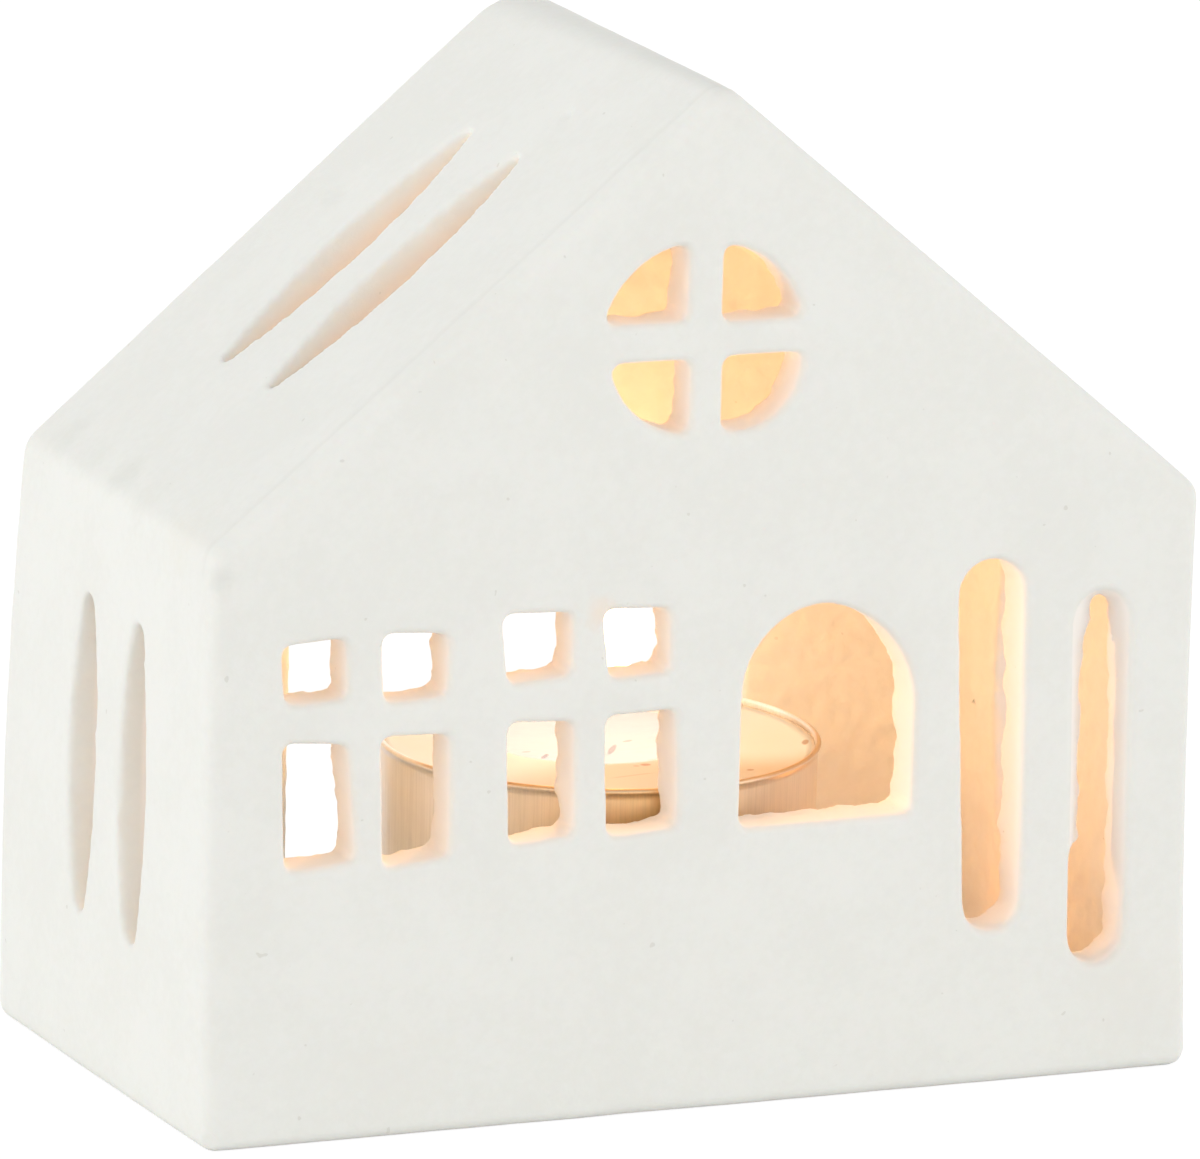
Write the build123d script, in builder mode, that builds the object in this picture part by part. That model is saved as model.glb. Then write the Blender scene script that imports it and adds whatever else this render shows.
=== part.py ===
# Tealight house: a slab-built clay house that a tealight slides into from behind.
# Millimetres. X runs along the front from left to right, Y from the front to the back, Z up.
# The origin is on the ground, under the middle of the house.

from build123d import *
from math import atan2, cos, degrees, pi, radians, sin, sqrt, tan
import os

os.makedirs("parts", exist_ok=True)

# House, over its outside
house_width = 92.4
house_depth = 48.0
eaves_height = 52.5
ridge_height = 90.9
back_ridge_rise = 1.1
wall = 4.8
floor_thickness = 4.0

# How far the soft slabs lean and bow out of true, at the foot and at half height
back_foot_spread = 1.6
back_belly = 0.6
front_left_belly = 0.5
front_right_foot_spread = 0.7
front_right_waist = 0.45

# Rounding that the wet sponge gave the outside
rim_round = 1.3
rim_steps = 3
foot_round = 1.4
front_eaves_round = 2.2
front_ridge_round = 1.8
back_eaves_round = 3.0
back_ridge_round = 6.0
room_corner_round = 1.6
cut_bevel = 0.5

# The front and back slabs are rebated: a full leaf outside, and a leaf that fits between the walls
outer_leaf = 2.6

# Four-light windows
window_width = 15.7
window_height = 20.5
mullion = 3.0
transom = 3.4
upper_light_share = 0.345
window_centre_shares = (-0.347, -0.122)
window_sill_shares = (0.463, 0.480)
light_corner_round = 0.8

# How far each corner of a light strays from square, across and up, as shares of the light's width.
# The corners are lower left, lower right, upper right and upper left.
light_stray_shares = {
    ("left", "lower", 0): ((0.12, 0.00), (0.15, 0.08), (0.00, -0.04), (0.05, 0.04)),
    ("left", "lower", 1): ((0.07, -0.05), (0.04, 0.05), (0.00, 0.00), (0.00, 0.03)),
    ("left", "upper", 0): ((0.08, 0.02), (-0.02, 0.04), (-0.05, -0.03), (0.01, -0.08)),
    ("left", "upper", 1): ((0.04, -0.06), (-0.05, -0.01), (-0.04, -0.07), (-0.01, 0.00)),
    ("right", "lower", 0): ((0.10, 0.00), (0.05, 0.06), (0.02, -0.10), (0.04, -0.04)),
    ("right", "lower", 1): ((0.06, 0.00), (0.11, 0.06), (0.04, -0.03), (0.00, -0.06)),
    ("right", "upper", 0): ((0.03, -0.06), (-0.03, 0.00), (-0.04, -0.03), (-0.08, 0.00)),
    ("right", "upper", 1): ((0.04, -0.10), (-0.05, -0.06), (-0.08, -0.07), (-0.08, -0.03)),
}

# Arched opening
arch_width = 16.3
arch_height = 19.6
arch_centre_share = 0.1207
arch_crown_share = 0.485
arch_sill_share = 0.4765
arch_sill_rise = 0.2
arch_right_spring_drop = 3.2
arch_corner_round = 0.8

# Two tall slots to the right of the arch. Each place is that of the slot's foot.
slot_foot_width = 5.3
tall_slot_height = 33.6
tall_slot_head_width = 6.2
tall_slot_across_share = 0.2965
tall_slot_foot_share = 0.264
tall_slot_lean = 1.8
short_slot_height = 33.9
short_slot_head_width = 5.6
short_slot_across_share = 0.407
short_slot_foot_share = 0.1925
short_slot_lean = 1.0
ledge_width = 2.8
ledge_drop = 23.7

# Round window
round_window_width = 19.2
round_window_height = 17.6
round_window_centre_share = -0.0162
round_window_height_share = 0.7547
upright_bar = 3.0
level_bar = 3.1
quarter_corner_round = 0.8

# How far each quarter really reaches, as shares of what a true quarter would:
# to its side, to its shoulder, to its end, and from the middle to the upright and the level bar
quarter_reach_shares = {
    (-1, 1): (1.00, 1.00, 0.99, 1.03, 1.10),
    (1, 1): (0.99, 0.98, 0.96, 1.07, 0.95),
    (-1, -1): (0.92, 0.95, 0.95, 0.75, 1.05),
    (1, -1): (0.98, 1.07, 0.92, 1.20, 0.97),
}

# Slits in the side walls
slit_width = 6.6
slit_height = 28.4
slit_tip_width = 3.0
slit_flare = 0.7
slit_depth_shares = (-0.142, 0.104)
slit_foot_share = 0.274

# Slots down the roof slopes
roof_slot_length = 29.6
roof_slot_width = 6.4
roof_slot_tip_width = 1.6
roof_slot_flare = 0.8
roof_slot_depth_shares = (-0.104, 0.125)
roof_slot_slope_share = 0.508

# Tealight cup
cup_height = 23.8
cup_rim_radius = 19.7
cup_rim_roll = 0.25
cup_skin = 0.35
cup_taper = 0.2
cup_foot_round = 1.2
bead_sides = 8
cup_seat_radius = 7.4
cup_seat_rise = 0.4

# Candle
wax_below_rim = 1.4
wax_foot_bevel = 1.0
pool_radius = 9.0
pool_depth = 0.6
pool_slope_share = 0.8
wick_radius = 0.75
wick_above_wax = 3.4
wick_bend_radius = 5.0
wick_bend_angle = 42
sustainer_radius = 6.5
sustainer_thickness = 0.3
neck_radius = 1.4
neck_height = 3.2

# Gaps
cup_to_front_gap = 0.4
cup_to_jamb_gap = 3.7
cup_to_crown_gap = 25.8
wax_to_cup_gap = 0.3
door_rise_share = 0.4
overrun = 2.0

half_width = house_width / 2
half_depth = house_depth / 2
roof_pitch = atan2(ridge_height - eaves_height, half_width)
roof_drop = wall / cos(roof_pitch)
room_half_width = half_width - wall
room_half_depth = half_depth - wall

front_face = Plane.XZ.offset(half_depth)
back_face = Plane.XZ.offset(-half_depth)
front_joint = Plane.XZ.offset(half_depth - outer_leaf)
back_joint = Plane.XZ.offset(outer_leaf - half_depth)


# Front view of the house as one face, with its bowed sides and softened corners
def house_outline(left_spread, left_belly, right_spread, right_belly, ridge, eaves_round, ridge_round):
    left_foot = -half_width - left_spread
    right_foot = half_width + right_spread
    left_middle = -half_width - left_spread / 2 - left_belly
    right_middle = half_width + right_spread / 2 + right_belly
    with BuildSketch() as outline:
        with BuildLine():
            Line((left_foot, 0), (right_foot, 0))
            ThreePointArc((right_foot, 0), (right_middle, eaves_height / 2), (half_width, eaves_height))
            Polyline((half_width, eaves_height), (0, ridge), (-half_width, eaves_height))
            ThreePointArc((-half_width, eaves_height), (left_middle, eaves_height / 2), (left_foot, 0))
        make_face()
        fillet(outline.vertices().group_by(Axis.Y)[2], ridge_round)
        fillet(outline.vertices().group_by(Axis.Y)[1], eaves_round)
        fillet(outline.vertices().group_by(Axis.Y)[0], foot_round)
    return outline.sketch


# Front view of the room between the slabs, down to the ground
def room_outline():
    eaves = eaves_height + wall * tan(roof_pitch) - roof_drop
    with BuildSketch() as outline:
        with BuildLine():
            Polyline(
                (-room_half_width, 0),
                (room_half_width, 0),
                (room_half_width, eaves),
                (0, ridge_height - roof_drop),
                (-room_half_width, eaves),
                close=True,
            )
        make_face()
        fillet(outline.vertices().group_by(Axis.Y)[1:], room_corner_round)
    return outline.sketch


# A long opening with slightly bowed sides and narrower, rounded tips, standing upright on its centre
def leaf_outline(length, width, tip_width):
    half, tip = width / 2, tip_width / 2
    shoulder = length / 2 - tip
    with BuildSketch() as outline:
        with BuildLine():
            ThreePointArc((tip, -shoulder), (half, 0), (tip, shoulder))
            ThreePointArc((tip, shoulder), (0, length / 2), (-tip, shoulder))
            ThreePointArc((-tip, shoulder), (-half, 0), (-tip, -shoulder))
            ThreePointArc((-tip, -shoulder), (0, -length / 2), (tip, -shoulder))
        make_face()
    return outline.sketch


# An upright slot that stands on its round foot, with a round head of another width
def slot_outline(height, head_width, foot_width):
    head, foot = head_width / 2, foot_width / 2
    with BuildSketch() as outline:
        with BuildLine():
            Line((foot, foot), (head, height - head))
            ThreePointArc((head, height - head), (0, height), (-head, height - head))
            Line((-head, height - head), (-foot, foot))
            ThreePointArc((-foot, foot), (0, 0), (foot, foot))
        make_face()
    return outline.sketch


# What a knife takes out of the front slab for one opening, its outer edge broken with a wet finger
def hand_cut(outline):
    with BuildPart() as cut:
        with BuildSketch(front_face):
            add(outline)
        extrude(amount=-wall - overrun)
        with BuildSketch(front_face):
            add(outline)
            offset(amount=cut_bevel)
        with BuildSketch(front_face.offset(-cut_bevel)):
            add(outline)
        loft(ruled=True)
    return cut.part


# The same for an opening that narrows towards the room
def narrowing_cut(outline, inner_outline):
    with BuildPart() as cut:
        with BuildSketch(front_face):
            add(outline)
            offset(amount=cut_bevel)
        with BuildSketch(front_face.offset(-cut_bevel)):
            add(outline)
        with BuildSketch(front_face.offset(-wall)):
            add(inner_outline)
        loft(ruled=True)
    return cut.part


front_outline = house_outline(
    0,
    front_left_belly,
    front_right_foot_spread,
    -front_right_waist,
    ridge_height,
    front_eaves_round,
    front_ridge_round,
)
back_outline = house_outline(
    back_foot_spread,
    back_belly,
    back_foot_spread,
    back_belly,
    ridge_height + back_ridge_rise,
    back_eaves_round,
    back_ridge_round,
)

# The seven slabs are cut from one block, so that they meet face to face. Its rims are rounded in steps.
with BuildPart() as block:
    for step in range(rim_steps):
        turn = pi / 2 * step / rim_steps
        with BuildSketch(front_face.offset(rim_round * (cos(turn) - 1))):
            add(front_outline)
            offset(amount=rim_round * (sin(turn) - 1))
    with BuildSketch(front_face.offset(-rim_round)):
        add(front_outline)
    with BuildSketch(back_face.offset(rim_round)):
        add(back_outline)
    for step in reversed(range(rim_steps)):
        turn = pi / 2 * step / rim_steps
        with BuildSketch(back_face.offset(rim_round * (1 - cos(turn)))):
            add(back_outline)
            offset(amount=rim_round * (sin(turn) - 1))
    loft(ruled=True)


with BuildPart() as front_wall:
    add(block.part)
    split(bisect_by=front_joint, keep=Keep.TOP)
    with BuildSketch(front_joint):
        add(room_outline())
    extrude(amount=outer_leaf - wall)

    # Two windows of four lights, each light cut by hand and so a little out of square
    light_width = (window_width - mullion) / 2
    upper_height = (window_height - transom) * upper_light_share
    lower_height = window_height - transom - upper_height
    for side, centre_share, sill_share in zip(("left", "right"), window_centre_shares, window_sill_shares):
        sill = sill_share * eaves_height
        rows = {"lower": (sill, lower_height), "upper": (sill + lower_height + transom, upper_height)}
        for row, (low, height) in rows.items():
            for column in range(2):
                left = centre_share * house_width - window_width / 2 + column * (light_width + mullion)
                square = ((0, 0), (light_width, 0), (light_width, height), (0, height))
                stray = light_stray_shares[side, row, column]
                corners = [
                    (left + across + light_width * stray_across, low + up + light_width * stray_up)
                    for (across, up), (stray_across, stray_up) in zip(square, stray)
                ]
                with BuildSketch(mode=Mode.PRIVATE) as light:
                    Polygon(*corners, align=None)
                    fillet(light.vertices(), light_corner_round)
                add(hand_cut(light.sketch), mode=Mode.SUBTRACT)

    # Arched opening, its crown left of the middle and its right side springing lower down
    arch_left = arch_centre_share * house_width - arch_width / 2
    arch_right = arch_left + arch_width
    arch_sill = arch_sill_share * eaves_height
    crown_x = arch_left + arch_width * arch_crown_share
    crown_z = arch_sill + arch_height
    left_spring = crown_z - (crown_x - arch_left)
    right_spring = left_spring - arch_right_spring_drop
    shoulders = [
        (crown_x + (side - crown_x) * cos(pi / 4), spring + (crown_z - spring) * sin(pi / 4))
        for side, spring in ((arch_left, left_spring), (arch_right, right_spring))
    ]
    with BuildSketch(mode=Mode.PRIVATE) as arch:
        with BuildLine():
            Polyline(
                (arch_left, left_spring),
                (arch_left, arch_sill),
                (arch_right, arch_sill + arch_sill_rise),
                (arch_right, right_spring),
            )
            ThreePointArc((arch_right, right_spring), shoulders[1], (crown_x, crown_z))
            ThreePointArc((crown_x, crown_z), shoulders[0], (arch_left, left_spring))
        make_face()
        fillet(arch.vertices().group_by(Axis.Y)[:2], arch_corner_round)
    add(hand_cut(arch.sketch), mode=Mode.SUBTRACT)

    # Tall slot, straight through
    tall_slot_foot = (tall_slot_across_share * house_width, tall_slot_foot_share * eaves_height, 0)
    with BuildSketch(mode=Mode.PRIVATE) as tall_slot:
        with Locations(Location(tall_slot_foot, (0, 0, tall_slot_lean))):
            add(slot_outline(tall_slot_height, tall_slot_head_width, slot_foot_width))
    add(hand_cut(tall_slot.sketch), mode=Mode.SUBTRACT)

    # Round window, cut as four quarters that leave a cross
    round_window_x = round_window_centre_share * house_width
    round_window_z = round_window_height_share * ridge_height
    for (across, up), (side, shoulder, end, upright, level) in quarter_reach_shares.items():
        half_across, half_up = across * round_window_width / 2, up * round_window_height / 2
        side_x = round_window_x + side * half_across * sqrt(1 - (level_bar / round_window_height) ** 2)
        end_z = round_window_z + end * half_up * sqrt(1 - (upright_bar / round_window_width) ** 2)
        shoulder_x = round_window_x + shoulder * half_across * cos(pi / 4)
        shoulder_z = round_window_z + shoulder * half_up * sin(pi / 4)
        bar_x = round_window_x + across * upright * upright_bar / 2
        bar_z = round_window_z + up * level * level_bar / 2
        with BuildSketch(mode=Mode.PRIVATE) as quarter:
            with BuildLine():
                Polyline((side_x, bar_z), (bar_x, bar_z), (bar_x, end_z))
                ThreePointArc((bar_x, end_z), (shoulder_x, shoulder_z), (side_x, bar_z))
            make_face()
            fillet(quarter.vertices(), quarter_corner_round)
        add(hand_cut(quarter.sketch), mode=Mode.SUBTRACT)

    # Short slot: its upper part narrows to the right, which leaves a slanted ledge on its left side
    short_slot_x = short_slot_across_share * house_width
    short_slot_low = short_slot_foot_share * eaves_height
    ledge_foot = short_slot_low + short_slot_height - ledge_drop
    short_slot_place = Location((short_slot_x, short_slot_low, 0), (0, 0, short_slot_lean))
    with BuildSketch(mode=Mode.PRIVATE) as short_slot:
        with Locations(short_slot_place):
            add(slot_outline(short_slot_height, short_slot_head_width, slot_foot_width))
    with BuildSketch(mode=Mode.PRIVATE) as beside_ledge:
        with Locations(short_slot_place * Location((ledge_width / 2, ledge_width / 2, 0))):
            add(
                slot_outline(
                    short_slot_height - ledge_width,
                    short_slot_head_width - ledge_width,
                    slot_foot_width - ledge_width,
                )
            )
    add(narrowing_cut(short_slot.sketch, beside_ledge.sketch), mode=Mode.SUBTRACT)
    with BuildSketch(front_face.offset(-cut_bevel)):
        add(short_slot.sketch)
        with Locations((short_slot_x, ledge_foot)):
            Rectangle(house_width, ledge_drop + overrun, align=(Align.CENTER, Align.MIN), mode=Mode.SUBTRACT)
    extrude(amount=-wall - overrun, mode=Mode.SUBTRACT)
front_wall.part.label = "front_wall"
export_step(front_wall.part, "parts/front_wall.step")

with BuildPart() as back_wall:
    add(block.part)
    split(bisect_by=back_joint, keep=Keep.BOTTOM)
    with BuildSketch(back_joint):
        add(room_outline())
    extrude(amount=wall - outer_leaf)

    # Doorway for the tealight, level with the floor
    door_half_width = cup_rim_radius + cup_to_jamb_gap
    door_crown = floor_thickness + cup_height + cup_to_crown_gap
    door_spring = door_crown - 2 * door_half_width * door_rise_share
    with BuildSketch(back_face):
        with BuildLine():
            Polyline(
                (-door_half_width, door_spring),
                (-door_half_width, floor_thickness),
                (door_half_width, floor_thickness),
                (door_half_width, door_spring),
            )
            ThreePointArc((door_half_width, door_spring), (0, door_crown), (-door_half_width, door_spring))
        make_face()
    extrude(amount=wall + overrun, mode=Mode.SUBTRACT)
back_wall.part.label = "back_wall"
export_step(back_wall.part, "parts/back_wall.step")

# Sides and roof slabs in one ring, before the bevelled joints at the eaves and the ridge divide it
with BuildPart() as ring:
    add(block.part)
    split(bisect_by=front_joint, keep=Keep.BOTTOM)
    split(bisect_by=back_joint, keep=Keep.TOP)
    with BuildSketch(front_joint):
        add(room_outline())
    extrude(amount=2 * outer_leaf - house_depth, mode=Mode.SUBTRACT)

bevel = (90 - degrees(roof_pitch)) / 2


# The bevelled joint at the eaves, with the roof on its upper side; hand is -1 for left and 1 for right
def eaves_joint(hand):
    return Plane(
        origin=(hand * half_width, 0, eaves_height),
        x_dir=(0, 1, 0),
        z_dir=(hand * tan(radians(-bevel)), 0, 1),
    )


for hand, name in ((-1, "left_wall"), (1, "right_wall")):
    with BuildPart() as side_wall:
        add(ring.part)
        split(bisect_by=Plane.YZ, keep=Keep.TOP if hand > 0 else Keep.BOTTOM)
        split(bisect_by=eaves_joint(hand), keep=Keep.BOTTOM)

        # Upright slits, wider outside than inside
        slit_middle = slit_foot_share * eaves_height + slit_height / 2
        outer_reach = half_width + back_foot_spread + back_belly
        for depth_share in slit_depth_shares:
            for reach, width in ((outer_reach, slit_width), (room_half_width, slit_width - 2 * slit_flare)):
                with BuildSketch(Plane.YZ.offset(hand * reach)):
                    with Locations((depth_share * house_depth, slit_middle)):
                        add(leaf_outline(slit_height, width, slit_tip_width))
            loft(mode=Mode.SUBTRACT)
    side_wall.part.label = name
    export_step(side_wall.part, f"parts/{name}.step")

for hand, name in ((-1, "left_roof"), (1, "right_roof")):
    with BuildPart() as roof:
        add(ring.part)
        split(bisect_by=Plane.YZ, keep=Keep.TOP if hand > 0 else Keep.BOTTOM)
        split(bisect_by=eaves_joint(hand), keep=Keep.TOP)

        # Slots down the slope, wider outside than inside
        along = roof_slot_slope_share
        slot_height = eaves_height + (ridge_height - eaves_height) * along
        slope = Plane(
            origin=(hand * half_width * (1 - along), 0, slot_height),
            x_dir=(0, 1, 0),
            z_dir=(hand * tan(roof_pitch), 0, 1),
        )
        for depth_share in roof_slot_depth_shares:
            inner_width = roof_slot_width - 2 * roof_slot_flare
            for height, width in ((back_ridge_rise, roof_slot_width), (-wall, inner_width)):
                with BuildSketch(slope.offset(height)):
                    with Locations((depth_share * house_depth, 0)):
                        add(leaf_outline(roof_slot_length, width, roof_slot_tip_width))
            loft(mode=Mode.SUBTRACT)
    roof.part.label = name
    export_step(roof.part, f"parts/{name}.step")

with BuildPart() as floor:
    with Locations((0, 0, floor_thickness / 2)):
        Box(2 * room_half_width, 2 * room_half_depth, floor_thickness)
floor.part.label = "floor"
export_step(floor.part, "parts/floor.step")

# The tealight stands on the floor, pushed in almost to the front slab
cup_y = -room_half_depth + cup_to_front_gap + cup_rim_radius
cup_section = Plane(origin=(0, cup_y, floor_thickness), x_dir=(1, 0, 0), z_dir=(0, -1, 0))
cup_axis = Axis((0, cup_y, 0), (0, 0, 1))

# Drawn cup, a little wider towards its rolled rim, with a raised seat in the middle of its base
cup_mouth_radius = cup_rim_radius - 2 * cup_rim_roll
cup_foot_radius = cup_mouth_radius - cup_taper
cup_side_height = cup_height - cup_rim_roll
with BuildPart() as tealight_cup:
    with BuildSketch(cup_section) as shell:
        with BuildLine():
            Polyline(
                (0, cup_seat_rise),
                (cup_seat_radius, cup_seat_rise),
                (cup_seat_radius + cup_seat_rise, 0),
                (cup_foot_radius + cup_skin, 0),
                (cup_mouth_radius + cup_skin, cup_side_height),
                (cup_mouth_radius, cup_side_height),
                (cup_foot_radius, cup_skin),
                (cup_seat_radius + cup_seat_rise, cup_skin),
                (cup_seat_radius, cup_seat_rise + cup_skin),
                (0, cup_seat_rise + cup_skin),
                close=True,
            )
        make_face()
        fillet(shell.vertices().sort_by_distance((cup_foot_radius + cup_skin, 0))[0], cup_foot_round)
        chamfer(shell.vertices().sort_by_distance((cup_foot_radius, cup_skin))[0], cup_foot_round - cup_skin)
        with Locations((cup_rim_radius - cup_rim_roll, cup_side_height)):
            RegularPolygon(cup_rim_roll, bead_sides)
    revolve(axis=cup_axis)
tealight_cup.part.label = "tealight_cup"
export_step(tealight_cup.part, "parts/tealight_cup.step")

# The candle's pieces stand on the seat of the cup
wax_height = cup_height - cup_seat_rise - cup_skin - wax_below_rim
candle_foot = floor_thickness + cup_seat_rise + cup_skin
candle_section = Plane(origin=(0, cup_y, candle_foot), x_dir=(1, 0, 0), z_dir=(0, -1, 0))
with BuildPart() as wick_sustainer:
    with BuildSketch(candle_section):
        with BuildLine():
            Polyline(
                (wick_radius, 0),
                (sustainer_radius, 0),
                (sustainer_radius, sustainer_thickness),
                (neck_radius, sustainer_thickness),
                (neck_radius, neck_height),
                (wick_radius, neck_height),
                close=True,
            )
        make_face()
    revolve(axis=cup_axis)
wick_sustainer.part.label = "wick_sustainer"
export_step(wick_sustainer.part, "parts/wick_sustainer.step")

# Wick, straight through the wax and bent over at its burnt tip
wick_straight = wax_height - pool_depth + wick_above_wax
with BuildPart() as wick:
    with BuildLine(candle_section):
        stem = Line((0, 0), (0, wick_straight))
        JernArc(stem @ 1, stem % 1, wick_bend_radius, -wick_bend_angle)
    with BuildSketch(Plane(origin=stem @ 0, z_dir=stem % 0)):
        Circle(wick_radius)
    sweep()
wick.part.label = "wick"
export_step(wick.part, "parts/wick.step")

# Wax, with a shallow pool melted round the wick and a hollow for the sustainer in its foot
wax_foot_radius = cup_foot_radius - wax_to_cup_gap
wax_top_radius = wax_foot_radius + cup_taper * wax_height / cup_height
with BuildPart() as wax:
    with BuildSketch(candle_section) as half_wax:
        with BuildLine():
            Polyline(
                (wick_radius, wax_height - pool_depth),
                (wick_radius, neck_height),
                (neck_radius, neck_height),
                (neck_radius, sustainer_thickness),
                (sustainer_radius, sustainer_thickness),
                (sustainer_radius, 0),
                (wax_foot_radius, 0),
                (wax_top_radius, wax_height),
                (pool_radius, wax_height),
            )
            ThreePointArc(
                (pool_radius, wax_height),
                (pool_radius / 2, wax_height - pool_depth * pool_slope_share),
                (wick_radius, wax_height - pool_depth),
            )
        make_face()
        chamfer(half_wax.vertices().sort_by_distance((wax_foot_radius, 0))[0], wax_foot_bevel)
    revolve(axis=cup_axis)
wax.part.label = "wax"
export_step(wax.part, "parts/wax.step")
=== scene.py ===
# Tealight house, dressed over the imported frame. Metres, +Z up, X along the front, Y towards the back.
import math

import bmesh
import bpy
from mathutils import Matrix, Vector


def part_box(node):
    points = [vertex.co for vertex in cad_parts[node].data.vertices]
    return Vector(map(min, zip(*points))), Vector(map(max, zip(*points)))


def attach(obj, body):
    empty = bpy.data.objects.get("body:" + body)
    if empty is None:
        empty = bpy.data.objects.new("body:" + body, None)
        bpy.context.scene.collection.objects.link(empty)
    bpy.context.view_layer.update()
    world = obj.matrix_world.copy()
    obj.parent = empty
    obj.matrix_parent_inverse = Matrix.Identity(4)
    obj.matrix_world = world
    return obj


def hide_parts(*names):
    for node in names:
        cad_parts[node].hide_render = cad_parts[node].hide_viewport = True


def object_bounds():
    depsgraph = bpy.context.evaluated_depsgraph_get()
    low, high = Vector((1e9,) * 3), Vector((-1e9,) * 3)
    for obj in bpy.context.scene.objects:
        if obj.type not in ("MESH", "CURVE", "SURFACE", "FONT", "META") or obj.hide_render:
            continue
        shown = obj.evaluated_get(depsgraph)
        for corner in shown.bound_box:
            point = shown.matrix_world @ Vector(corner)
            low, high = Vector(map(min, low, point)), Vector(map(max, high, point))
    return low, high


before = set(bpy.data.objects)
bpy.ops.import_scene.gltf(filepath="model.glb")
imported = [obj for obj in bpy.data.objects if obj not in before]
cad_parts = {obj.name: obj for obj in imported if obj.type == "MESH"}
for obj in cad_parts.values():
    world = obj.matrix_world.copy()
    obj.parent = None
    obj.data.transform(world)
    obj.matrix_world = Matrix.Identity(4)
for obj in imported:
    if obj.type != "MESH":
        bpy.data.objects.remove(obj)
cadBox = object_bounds()
mm = 0.001
slabNodes = ["front_wall", "back_wall", "left_wall", "right_wall", "left_roof", "right_roof", "floor"]


# One output of a node, so that sums can be written as plain Python
class Wire:
    def __init__(self, graph, socket):
        self.graph = graph
        self.socket = socket

    def join(self, operation, other, turned=False):
        first, second = (other, self) if turned else (self, other)
        return self.graph.add("ShaderNodeMath", {"operation": operation}, {0: first, 1: second})

    def __add__(self, other):
        return self.join("ADD", other)

    def __radd__(self, other):
        return self.join("ADD", other, True)

    def __sub__(self, other):
        return self.join("SUBTRACT", other)

    def __rsub__(self, other):
        return self.join("SUBTRACT", other, True)

    def __mul__(self, other):
        return self.join("MULTIPLY", other)

    def __rmul__(self, other):
        return self.join("MULTIPLY", other, True)

    def __truediv__(self, other):
        return self.join("DIVIDE", other)

    def __rtruediv__(self, other):
        return self.join("DIVIDE", other, True)

    def __pow__(self, other):
        return self.join("POWER", other)

    def __abs__(self):
        return self.graph.add("ShaderNodeMath", {"operation": "ABSOLUTE"}, {0: self})


# A node tree whose nodes are each made by one call
class Graph:
    def __init__(self, tree):
        self.tree = tree

    def plug(self, socket, value):
        if isinstance(value, Wire):
            self.tree.links.new(value.socket, socket)
        else:
            socket.default_value = value

    def add(self, kind, settings=None, inputs=None, out=0):
        node = self.tree.nodes.new(kind)
        for name, value in (settings or {}).items():
            setattr(node, name, value)
        for name, value in (inputs or {}).items():
            self.plug(node.inputs[name], value)
        if node.outputs:
            return Wire(self, node.outputs[out])

    def band(self, value, low, high, toLow=0.0, toHigh=1.0):  # eases from toLow to toHigh as value goes low to high
        edges = {"Value": value, "From Min": low, "From Max": high, "To Min": toLow, "To Max": toHigh}
        return self.add("ShaderNodeMapRange", {"interpolation_type": "SMOOTHSTEP"}, edges)

    def noise(self, vector, scale, detail=2.0, roughness=0.5):
        inputs = {"Vector": vector, "Scale": scale, "Detail": detail, "Roughness": roughness}
        return self.add("ShaderNodeTexNoise", {}, inputs)

    def swing(self, vector, scale, detail=2.0, roughness=0.5):  # noise from about -1 to 1
        return self.noise(vector, scale, detail, roughness) * 2 - 1

    def mixed(self, first, second, share):  # a sum in which the first counts for this share
        return first * share + second * (1 - share)

    def blend(self, factor, first, second):
        return self.add("ShaderNodeMix", {"data_type": "RGBA"}, {0: factor, 6: first, 7: second}, 2)

    def vector(self, operation, first, second, out=0):
        return self.add("ShaderNodeVectorMath", {"operation": operation}, {0: first, 1: second}, out)

    def dot(self, first, second):
        return self.vector("DOT_PRODUCT", first, second, "Value")

    def distance(self, first, second):
        return self.vector("DISTANCE", first, second, "Value")

    def scaled(self, vector, amount):
        return self.add("ShaderNodeVectorMath", {"operation": "SCALE"}, {0: vector, "Scale": amount})

    def parts(self, vector):
        return [self.add("ShaderNodeSeparateXYZ", {}, {"Vector": vector}, axis) for axis in "XYZ"]

    def bump(self, height, depth, strength):  # depth in mm
        inputs = {"Height": height, "Distance": depth * mm, "Strength": strength}
        return self.add("ShaderNodeBump", {}, inputs, "Normal")

    def objectPlace(self):  # Object coordinates in mm, for a material
        return self.scaled(self.add("ShaderNodeTexCoord", {}, {}, "Object"), 1 / mm)

    def meshPlace(self):  # a mesh's own places in mm, for a Geometry Nodes tree
        return self.scaled(self.add("GeometryNodeInputPosition"), 1 / mm)


# A Geometry Nodes tree with named inputs; body(graph, geometry, inputs) returns the geometry it makes
def geometryTree(name, inputs, material, body):
    tree = bpy.data.node_groups.new(name, "GeometryNodeTree")
    tree.interface.new_socket("Geometry", in_out="INPUT", socket_type="NodeSocketGeometry")
    for label in inputs:
        tree.interface.new_socket(label, in_out="INPUT", socket_type="NodeSocketFloat")
    tree.interface.new_socket("Geometry", in_out="OUTPUT", socket_type="NodeSocketGeometry")
    graph = Graph(tree)
    start = tree.nodes.new("NodeGroupInput")
    wires = {label: Wire(graph, start.outputs[label]) for label in inputs}
    made = body(graph, Wire(graph, start.outputs["Geometry"]), wires)
    real = graph.add("GeometryNodeRealizeInstances", {}, {"Geometry": made})
    done = graph.add("GeometryNodeSetMaterial", {}, {"Geometry": real, "Material": material})
    graph.add("NodeGroupOutput", {}, {"Geometry": done})
    return tree


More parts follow.
